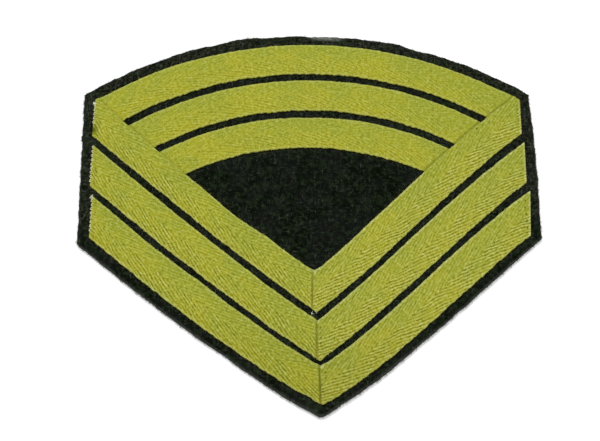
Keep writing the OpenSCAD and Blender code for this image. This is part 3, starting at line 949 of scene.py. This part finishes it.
# Chevron: left arm from its end to the crease, on to the mitre, then the right arm to its end.
# Each arm is its centre line moved by the share across; both are drawn to one corner on the mitre.
def makeChevron(rowName, name, holes, seed):
    left, right = arms[rowName, -1], arms[rowName, 1]
    overrun = chevron["overrun"]
    rise = left["pointWidth"] / 2 / math.cos(math.atan((left["pointSlope"] + right["pointSlope"]) / 2))
    top, foot = chevron["creaseTop"][rowName], chevron["creaseFoot"][rowName]

    def place(arm, u):
        return armPoint(arm, u, ringShare * armHalfWidth(arm, u))

    def until(arm, inside, low, high):
        return lastInside(lambda u: inside(*place(arm, u)), low + 0 * ringShare, high + 0 * ringShare)

    def downMitre(y):   # 0 at the mitre's upper corner, 1 at its lower one
        return (left["pointY"] + rise - y) / (2 * rise)

    def fromCrease(x, y):   # how far right of the crease, which leans away from the mitre as it goes down
        return x - mitreX(y) + top + (foot - top) * downMitre(y)

    mitres, ends, corners, lengths, shares = {}, {}, {}, {}, {}
    for arm in (left, right):
        hand = arm["hand"]
        mitres[hand] = until(arm, lambda x, y: hand * (x - mitreX(y)) < 0, -overrun, 0.5)
        ends[hand] = until(arm, lambda x, y: fieldRoom(rowName, x, y) > 0, 0.5, 1 + overrun)
        corners[hand] = np.array(place(arm, mitres[hand]))
        lengths[hand] = armRun(arm, 1.0)
        steps = endSteps(chevron["closeLength"]) / lengths[hand]
        whole = stations(2.0, 2 * int(lengths[hand] / weave["alongCell"]), steps)
        shares[hand] = whole[whole <= 1.0][:, None]   # from the end at 0 to the mitre at 1
    crease = until(left, lambda x, y: fromCrease(x, y) > 0, -overrun, 0.5)
    corner = (corners[-1] + corners[1]) / 2
    uLeft = ends[-1] + (crease - ends[-1]) * shares[-1]
    uSliver = crease + (mitres[-1] - crease) * np.array(chevron["slivers"])
    uRight = ends[1] + (mitres[1] - ends[1]) * shares[1][::-1]
    parts = []
    for arm, u in ((left, np.concatenate([uLeft, uSliver])), (right, uRight)):
        hand = arm["hand"]
        x, y = place(arm, u)
        pull = np.exp(-np.abs(u - mitres[hand]) * arm["reach"] / chevron["cornerReach"])
        shift = corner - corners[hand]
        parts.append((x + shift[0] * pull, y + shift[1] * pull, hand * armRun(arm, u),
                      ringShare * armHalfWidth(arm, u)))
    x, y, along, across = (np.concatenate([a, b]) for a, b in zip(*parts))
    filled = chevron["blunt"][rowName] * bell((x - mitreX(y)) / chevron["bluntReach"])
    y = y + filled * outerShare(ringShare, chevron["bluntShare"])[None, :]
    columns = np.arange(len(x))[:, None]
    creaseColumn = len(uLeft) - 1
    isLeft = columns < creaseColumn
    # The crease's right side is woven as the right arm is, so its run is measured along that arm
    startX, startY, startSlope = armCentre(right, 0.0)
    turn = math.atan(startSlope)
    alongB = (x - startX) * math.cos(turn) + (y - startY) * math.sin(turn)
    acrossB = (y - startY) * math.cos(turn) - (x - startX) * math.sin(turn)
    sliver = columns < len(uLeft) + len(uSliver)
    weaveB = (np.where(sliver, alongB, along), np.where(sliver, acrossB, across))
    fromEnd = np.concatenate([shares[-1] * lengths[-1] + 0 * uLeft, farOff + 0 * uSliver,
                              shares[1][::-1] * lengths[1] + 0 * uRight])

    off = fromCrease(x, y)
    groove = bell(off / chevron["creaseWidth"])
    # Tone: painted highlight along the edges and ends, painted shade along the sewn lines, a darker spot, and a
    # painted sheen beside the crease
    tone = np.where(isLeft, rimTone("left"), rimTone("right") + rims["rightSheen"])
    for hand, (pale, dark) in rims["ends"].items():
        tone = tone + edgeTone(hand * (endX(rowName, hand, y) - x), pale, dark)
    for darkSpotX, darkSpotY, reach, dark in chevron["darkSpots"][rowName]:
        tone = tone - dark * spot(x, y, darkSpotX, darkSpotY, reach)
    sheen, sheenAt, sheenWidth = chevron["creaseSheen"]
    tone = tone + sheen * bell((np.abs(off) - sheenAt) / sheenWidth)
    down = np.clip(downMitre(y), 0, 1)
    shadeEnd, shadeMiddle = chevron["creaseShade"][rowName]
    creaseShade = groove * (shadeEnd + (shadeMiddle - shadeEnd) * 4 * down * (1 - down))
    fold = chevron["foldRise"] * smoothStep(off / chevron["foldRamp"])
    fold = fold * smoothStep(pleatCover(rowName, x, y) / chevron["pleatFade"] + 1.0)
    under = seat + 0 * x
    thickness = weave["thickness"] + fold - chevron["creaseDepth"] * groove
    calm = (1 - chevron["creaseCalm"] * groove) * np.where(isLeft, 1.0, weave["rightRibs"])
    if rowName == "upper":
        over = lapOver(x, y)
        under = under + chevron["lapRise"] * over
        thickness = thickness - (weave["thickness"] - weave["lapThickness"]) * over
        tone = tone * (1 - chevron["lapCalm"] * over)
    piece, edges = makeTape(name, x, y, under, thickness, fromEnd, (along, across), weaveB, creaseColumn, calm,
                            creaseShade, tone, holes, seed)
    return piece, edges, lengths[-1] + lengths[1]


# Stitch holes, as place and radius: beside the creases and near the right ends of the bars
stitchHoles = {
    "upper": [(82.8, 121.0, 0.20), (82.8, 119.4, 0.22), (82.8, 117.8, 0.22), (82.8, 116.2, 0.22),
              (82.8, 114.6, 0.20), (82.9, 113.0, 0.20), (82.9, 111.4, 0.18), (66.3, 110.0, 0.34)],
    "middle": [(3.5, 32.4, 0.26), (3.5, 30.5, 0.24), (3.6, 28.7, 0.26), (3.5, 26.8, 0.24),
               (82.9, 98.2, 0.20), (82.9, 95.4, 0.22), (83.0, 92.6, 0.20), (82.9, 90.0, 0.20)],
    "lower": [(5.0, 16.0, 0.34), (5.0, 13.9, 0.34), (3.6, 11.4, 0.24), (3.7, 9.0, 0.22),
              (83.1, 80.3, 0.30), (82.8, 77.6, 0.32), (83.0, 74.9, 0.34), (83.1, 72.2, 0.32), (83.1, 69.6, 0.30)],
}

tapes = {}
for number, name in enumerate(("arc_outer", "arc_middle", "arc_inner")):
    tapes[name] = makeArc(number, name, 100 + 10 * number)
for number, rowName in enumerate(("lower", "middle", "upper")):
    name = "chevron_" + rowName
    tapes[name] = makeChevron(rowName, name, stitchHoles[rowName], 200 + 10 * number)
for name, (piece, edges, length) in tapes.items():
    print(name, "is woven,", len(piece.data.polygons), "faces,", round(float(length), 1), "mm long")


# Fine tubes in one mesh. Centres is tubes by stations by 3 and radii has one value a station. Each
# station has a ring of points at even angles square to the tube, and both ends are closed.
def makeTubes(name, centres, radii, sides, material, guide=None):
    tubes, steps = centres.shape[:2]
    along = np.gradient(centres, axis=1)
    along = along / np.linalg.norm(along, axis=2, keepdims=True)
    if guide is None:   # square to upright, or to x for a tube that stands up
        span = centres[:, -1] - centres[:, 0]
        steep = np.abs(span[:, 2]) > 0.8 * np.linalg.norm(span, axis=1)
        guide = np.where(steep[:, None], (1.0, 0.0, 0.0), (0.0, 0.0, 1.0))
    across = np.cross(guide[:, None, :], along)
    across = across / np.linalg.norm(across, axis=2, keepdims=True)
    other = np.cross(along, across)
    angle = np.arange(sides) * 2 * math.pi / sides
    ring = np.cos(angle)[:, None] * across[:, :, None] + np.sin(angle)[:, None] * other[:, :, None]
    points = (centres[:, :, None] + np.array(radii)[:, None, None] * ring).reshape(-1, 3)
    index = np.arange(tubes * steps * sides).reshape(tubes, steps, sides)
    after = np.roll(index, -1, axis=2)
    walls = np.stack([index[:, :-1], after[:, :-1], after[:, 1:], index[:, 1:]], -1).reshape(-1, 4)
    return makePiece(name, laid(*points.T), [walls, index[:, 0, ::-1], index[:, -1]], material)


fuzz = {
    "radius": 0.045,
    "taper": (1.0, 0.8, 0.35),
    "edgeCount": 4200,     # wool hairs round the cut edge
    "edgeLength": (0.5, 1.3),
    "edgeSpread": 0.75,    # radians either side of straight out
    "edgeHeight": (0.30, 1.90),
    "edgeRise": (-0.10, 0.12),
    "edgeRoot": 0.3,       # how far inside the outline they start
    "curl": 0.6,           # radians, and so below
    "napCount": 5200,      # wool hairs lying on the cloth between the tapes
    "napTries": 12,        # candidates for each of them
    "napClear": (0.3, 0.6),       # how far from the tapes and from the cut edge they lie
    "napLength": (0.8, 1.9),
    "napLift": (0.12, 0.34),
    "napSink": 0.03,
    "napCurl": 0.7,
    "strayCount": 260,     # wool hairs that climb over a tape's edge
    "strayFrom": (0.25, 0.12),    # how far outside it they start, more or less
    "strayLength": (0.9, 1.5),
    "strayRises": ((0.85, 1.05), (0.05, 0.30)),
    "strayCurl": 0.5,
    "tapeRadius": 0.05,
    "tapeEvery": 1.6,      # millimetres of tape edge to one hair
    "tapeLength": (0.25, 0.75),
    "tapeSpread": 0.8,
    "tapeHeight": (0.35, 0.75),
    "tapeRises": ((0.0, 0.15), (-0.05, 0.12)),
    "tapeRoot": 0.15,
}


# Places along a line of points at random, with the direction square to it on its right-hand side
def beside(line, count, rng):
    run = runAlong(line)
    step = np.diff(line, axis=0)
    at = rng.uniform(0, run[-1], count)
    k = np.clip(np.searchsorted(run, at) - 1, 0, len(step) - 1)
    x, y = np.interp(at, run, line[:, 0]), np.interp(at, run, line[:, 1])
    return x, y, np.arctan2(-step[k, 0], step[k, 1])


# Hairs from a root at x, y, z: heading turns by turn on the way and the two outer stations rise
def hairs(x, y, z, heading, turn, length, rises):
    places = [np.stack([x, y, z], -1)]
    for way, rise in zip((heading, heading + turn), rises):
        places.append(places[-1] + np.stack([length / 2 * np.cos(way), length / 2 * np.sin(way), rise], -1))
    return np.stack(places, 1)


def woolHairs(name, hair):
    return makeTubes(name, hair, fuzz["radius"] * np.array(fuzz["taper"]), 3, fuzzMaterial)


# Wool hairs from just inside the cut edge, each more or less straight out of it
def makeEdgeFuzz():
    rng = np.random.default_rng(61)
    count = fuzz["edgeCount"]
    x, y, out = beside(feltOutline, count, rng)
    z = rng.uniform(*fuzz["edgeHeight"], count)
    heading = out + rng.normal(0, fuzz["edgeSpread"], count)
    length = rng.uniform(*fuzz["edgeLength"], count)
    rises = [rng.uniform(*fuzz["edgeRise"], count) for k in range(2)]
    x, y = x - fuzz["edgeRoot"] * np.cos(out), y - fuzz["edgeRoot"] * np.sin(out)
    return woolHairs("edgeFuzz", hairs(x, y, z, heading, rng.normal(0, fuzz["curl"], count), length, rises))


# Candidates all over the cloth; those between the tapes lie on the nap in a low arch, and those
# beside a tape climb over its edge, towards the side on which the cover grows
def makeNap():
    rng = np.random.default_rng(62)
    many = fuzz["napTries"] * fuzz["napCount"]
    x, y = rng.uniform(-halfCloth, halfCloth, many), rng.uniform(0, patch["height"], many)
    cover = tapeCover(x, y)
    clear, edgeClear = fuzz["napClear"]
    inside = np.minimum.reduce(clothRoom(x, y)) > edgeClear
    free = np.flatnonzero((cover < -clear) & inside)[:fuzz["napCount"]]
    count = len(free)
    lift = rng.uniform(*fuzz["napLift"], count)
    z = feltHeight(x[free], y[free], cover[free]) - fuzz["napSink"]
    flat = hairs(x[free], y[free], z, rng.uniform(0, 2 * math.pi, count), rng.normal(0, fuzz["napCurl"], count),
                 rng.uniform(*fuzz["napLength"], count), [lift, -0.5 * lift])
    start, slack = fuzz["strayFrom"]
    near = np.flatnonzero((np.abs(cover + start) < slack) & inside)[:fuzz["strayCount"]]
    count = len(near)
    x, y, cover = x[near], y[near], cover[near]
    probe = 0.1   # how far off the cover is read once more, for its slope
    slopeX, slopeY = tapeCover(x + probe, y) - cover, tapeCover(x, y + probe) - cover
    climb = hairs(x, y, feltHeight(x, y, cover), np.arctan2(slopeY, slopeX),
                  rng.normal(0, fuzz["strayCurl"], count), rng.uniform(*fuzz["strayLength"], count),
                  [rng.uniform(*rise, count) for rise in fuzz["strayRises"]])
    return woolHairs("clothNap", np.concatenate([flat, climb]))


# Short olive hairs along both selvages of a tape, pointing out of it
def makeTapeFuzz(name, edges, seed):
    rng = np.random.default_rng(seed)
    parts = []
    for line, turned in zip(edges, (math.pi, 0.0)):
        count = int(runAlong(line)[-1] / fuzz["tapeEvery"])
        x, y, out = beside(line, count, rng)
        out = out + turned
        heading = out + rng.normal(0, fuzz["tapeSpread"], count)
        x, y = x - fuzz["tapeRoot"] * np.cos(out), y - fuzz["tapeRoot"] * np.sin(out)
        z = seat + rng.uniform(*fuzz["tapeHeight"], count)
        turn, tapeLength = rng.normal(0, fuzz["curl"], count), rng.uniform(*fuzz["tapeLength"], count)
        rises = [rng.uniform(*rise, count) for rise in fuzz["tapeRises"]]
        parts.append(hairs(x, y, z, heading, turn, tapeLength, rises))
    radii = fuzz["tapeRadius"] * np.array(fuzz["taper"])
    return makeTubes(name, np.concatenate(parts), radii, 3, threads["olive"])


stitching = {
    "taper": (0.7, 1.0, 1.0, 1.0, 0.7),   # thickness along a stitch
    "backRadius": 0.13,
    "backLength": 2.1,     # from needle hole to needle hole
    "backGap": 0.35,
    "backInset": 1.2,      # from a tape's edge to its line of stitches
    "backStart": 1.5,      # from a tape's end to the first stitch
    "backShares": (0.0, 0.12, 0.5, 0.88, 1.0),
    "backHeights": (0.10, -0.105, -0.14, -0.105, 0.10),   # from inside the cloth round its back
    "zigzagRadius": 0.17,
    "zigzagOut": 0.35,     # reach on to the cloth, and back over the tape's end
    "zigzagIn": 0.50,
    "zigzagLow": 2.22,
    "zigzagShares": (0.0, 0.15, 0.4, 0.75, 1.0),
    "zigzagRise": (-0.15, 0.30, 0.78, 1.0, 0.86),   # from zigzagLow to its height over the tape
    "zigzagApart": (0.06, 0.26),   # how far the legs part, in pitches: at their start, and more on the way
    "zigzagSlip": 0.12,
}

# Overcast stitches over the left ends: from y at the top to y at the foot, about how far apart they
# are, and the heights at which they pass over the tape at the top and at the foot
zigzags = {
    "upper": (122.8, 113.8, 1.80, (3.50, 3.20)),
    "middle": (105.2, 89.8, 1.60, (3.15, 3.15)),
    "lower": (85.2, 70.2, 1.60, (3.15, 3.15)),
}


# Back stitches: along each selvage, moved in by backInset, short arched tubes end to end with gaps
def makeBackStitches():
    pitch, inset = stitching["backLength"], stitching["backInset"]
    stitches = []
    for piece, edges, length in tapes.values():
        for line, hand in zip(edges, (1, -1)):
            run = runAlong(line)
            count = int((run[-1] - 2 * stitching["backStart"]) / pitch)
            start = stitching["backStart"] + np.arange(count)[:, None] * pitch
            at = start + np.array(stitching["backShares"]) * (pitch - stitching["backGap"])
            x, y = np.interp(at, run, line[:, 0]), np.interp(at, run, line[:, 1])
            ahead = np.arctan2(y[:, -1] - y[:, 0], x[:, -1] - x[:, 0])[:, None]
            x, y = x + hand * inset * np.sin(ahead), y - hand * inset * np.cos(ahead)
            stitches.append(np.stack([x, y, np.array(stitching["backHeights"]) + 0 * x], -1))
    centres = np.concatenate(stitches)
    span = centres[:, -1] - centres[:, 0]
    guide = np.stack([-span[:, 1], span[:, 0], 0 * span[:, 0]], -1)
    guide = guide / np.linalg.norm(guide, axis=1, keepdims=True)
    radii = stitching["backRadius"] * np.array(stitching["taper"])
    return makeTubes("backStitches", centres, radii, 5, threads["dark"], guide)


# Zigzag: each stitch is two legs that start close together on the cloth and part over the tape's end
def makeZigzag(rowName):
    top, foot, pitch, (highTop, highFoot) = zigzags[rowName]
    count = int((top - foot) / pitch)
    rng = np.random.default_rng(70 + len(rowName))
    share = np.array(stitching["zigzagShares"])
    out, inward, low = stitching["zigzagOut"], stitching["zigzagIn"], stitching["zigzagLow"]
    (apart, parting), slip = stitching["zigzagApart"], stitching["zigzagSlip"]
    down = ((np.arange(count) + 0.5) / count)[:, None]
    legs = []
    for hand in (-1, 1):
        y = top + (foot - top) * down + hand * pitch * (apart + parting * share)
        x = endX(rowName, -1, y) - out + (out + inward) * share
        x = x + rng.uniform(-slip, slip, (count, 1))
        high = highTop + (highFoot - highTop) * down
        z = low + (high - low) * np.array(stitching["zigzagRise"])
        legs.append(np.stack([x, y, z], -1))
    centres = np.concatenate(legs)
    radii = stitching["zigzagRadius"] * np.array(stitching["taper"])
    guide = np.tile([0.0, 1.0, 0.0], (len(centres), 1))
    return makeTubes("zigzag_" + rowName, centres, radii, 6, threads["zigzag"], guide)


# Loose ends and lint, as place, height, number of threads, length, radius and how curly they are
lint = {
    "looseThreads": ((0.6, 37.9, 2.45, 5, 1.0, 0.05, 0.9), (1.8, 38.3, 2.90, 5, 0.9, 0.06, 0.9),
                     (-83.9, 122.3, 3.25, 14, 1.1, 0.09, 0.9), (-83.4, 83.9, 3.00, 8, 0.9, 0.07, 0.9)),
    "apart": 0.3,          # how far the threads of a tuft start from each other
    "steps": 12,
    "rise": 0.04,          # how much a step rises or falls, and between which heights a thread stays
    "stays": (-0.1, 0.4),
    "endRadii": (0.6, 0.5),
}


# A thread is the running sum of short steps whose heading wanders at random
def makeLint():
    rng = np.random.default_rng(81)
    steps, apart = lint["steps"], lint["apart"]
    taper = np.ones(steps)
    taper[[0, -1]] = lint["endRadii"]
    pieces = []
    for x, y, z, count, length, radius, curl in lint["looseThreads"]:
        heading = rng.uniform(0, 2 * math.pi, (count, 1)) + np.cumsum(rng.normal(0, curl, (count, steps)), axis=1)
        places = [start + rng.uniform(-apart, apart, (count, 1)) + np.cumsum(way, axis=1) * (length / steps)
                  for start, way in ((x, np.cos(heading)), (y, np.sin(heading)))]
        places.append(z + np.cumsum(rng.normal(0, lint["rise"], (count, steps)), axis=1).clip(*lint["stays"]))
        name = "lint" + str(len(pieces))
        pieces.append(makeTubes(name, np.stack(places, -1), radius * taper, 5, threads["pale"]))
    return pieces


edgeFuzz = makeEdgeFuzz()
clothNap = makeNap()
tapeFuzz = {name: makeTapeFuzz(name + "_fuzz", tape[1], 90 + k) for k, (name, tape) in enumerate(tapes.items())}
print("fuzz is combed out")
backStitches = makeBackStitches()
zigzagPieces = {rowName: makeZigzag(rowName) for rowName in zigzags}
lintPieces = makeLint()
print("stitches are sewn")


studio = {
    "floor": (0.86, 0.86, 0.86, 1),   # and where its paper is a little paler
    "floorPale": (0.88, 0.88, 0.88, 1),
    "floorNoise": (9, 2),
    "floorHalf": 1500.0,    # mm from its middle to its sides
    "floorDrop": 0.3,       # mm under the cloth
    "roughness": 0.9,
    "shine": 0.1,
    "world": (1.0, 1.0, 1.0, 1),
    "worldStrength": 0.80,
    # Round lamps that face the origin: place and size in metres, power in watts
    "lamps": {"keyLight": ((-0.20, 0.50, 1.00), 0.70, 10.0), "fillLight": ((0.35, -0.55, 0.85), 0.70, 3.0)},
}


def makeFloor():   # one square of paper
    corners = studio["floorHalf"] * np.array([[-1, -1], [1, -1], [1, 1], [-1, 1]])
    points = np.concatenate([corners, np.full((4, 1), -studio["floorDrop"])], 1) * mm
    mesh = bpy.data.meshes.new("floor")
    mesh.from_pydata(points.tolist(), [], [[0, 1, 2, 3]])
    material, tree, shader = newMaterial("floorPaper")
    place = addNode(tree, "TexCoord").outputs["Object"]
    paper = mixColour(tree, noiseNode(tree, place, *studio["floorNoise"]), studio["floor"], studio["floorPale"])
    finishShader(tree, shader, studio, paper)
    mesh.materials.append(material)
    floor = bpy.data.objects.new("floor", mesh)
    bpy.context.scene.collection.objects.link(floor)


def makeLamp(name, place, size, power):
    light = bpy.data.lights.new(name, "AREA")
    light.shape = "DISK"
    light.size = size
    light.energy = power
    lamp = bpy.data.objects.new(name, light)
    bpy.context.scene.collection.objects.link(lamp)
    lamp.location = place
    lamp.rotation_euler = (-Vector(place)).to_track_quat("-Z", "Y").to_euler()


makeFloor()
for name, lampFacts in studio["lamps"].items():
    makeLamp(name, *lampFacts)
world = bpy.data.worlds.new("paleRoom")
world.use_nodes = True
world.node_tree.nodes["Background"].inputs["Color"].default_value = studio["world"]
world.node_tree.nodes["Background"].inputs["Strength"].default_value = studio["worldStrength"]
bpy.context.scene.world = world
bpy.context.scene.view_settings.view_transform = "Standard"

photoView = {
    "tilt": 15.0,          # degrees away from straight above, from the point's side
    "turn": 0.8,           # degrees
    "lens": 55.0,
    "sensor": 36.0,
    "near": 0.02,          # metres
    "distance": 350.4,
    "target": (-3.55, -1.95, 2.6),
}


# Camera axes: right and ahead lie in the patch's plane, turned by turn, and back leans to the point by tilt
def makeCamera():
    tilt, turn = math.radians(photoView["tilt"]), math.radians(photoView["turn"])
    right = Vector((math.cos(turn), -math.sin(turn), 0))
    ahead = Vector((math.sin(turn), math.cos(turn), 0))
    back = -math.sin(tilt) * ahead + Vector((0, 0, math.cos(tilt)))
    up = back.cross(right)
    data = bpy.data.cameras.new("photoCamera")
    data.lens = photoView["lens"]
    data.sensor_width = photoView["sensor"]
    data.clip_start = photoView["near"]
    camera = bpy.data.objects.new("photoCamera", data)
    bpy.context.scene.collection.objects.link(camera)
    place = (Vector(photoView["target"]) + back * photoView["distance"]) * mm
    turned = Matrix((right, up, back)).transposed().to_4x4()
    camera.matrix_world = Matrix.Translation(place) @ turned
    bpy.context.scene.camera = camera


makeCamera()
print("studio and camera are set")
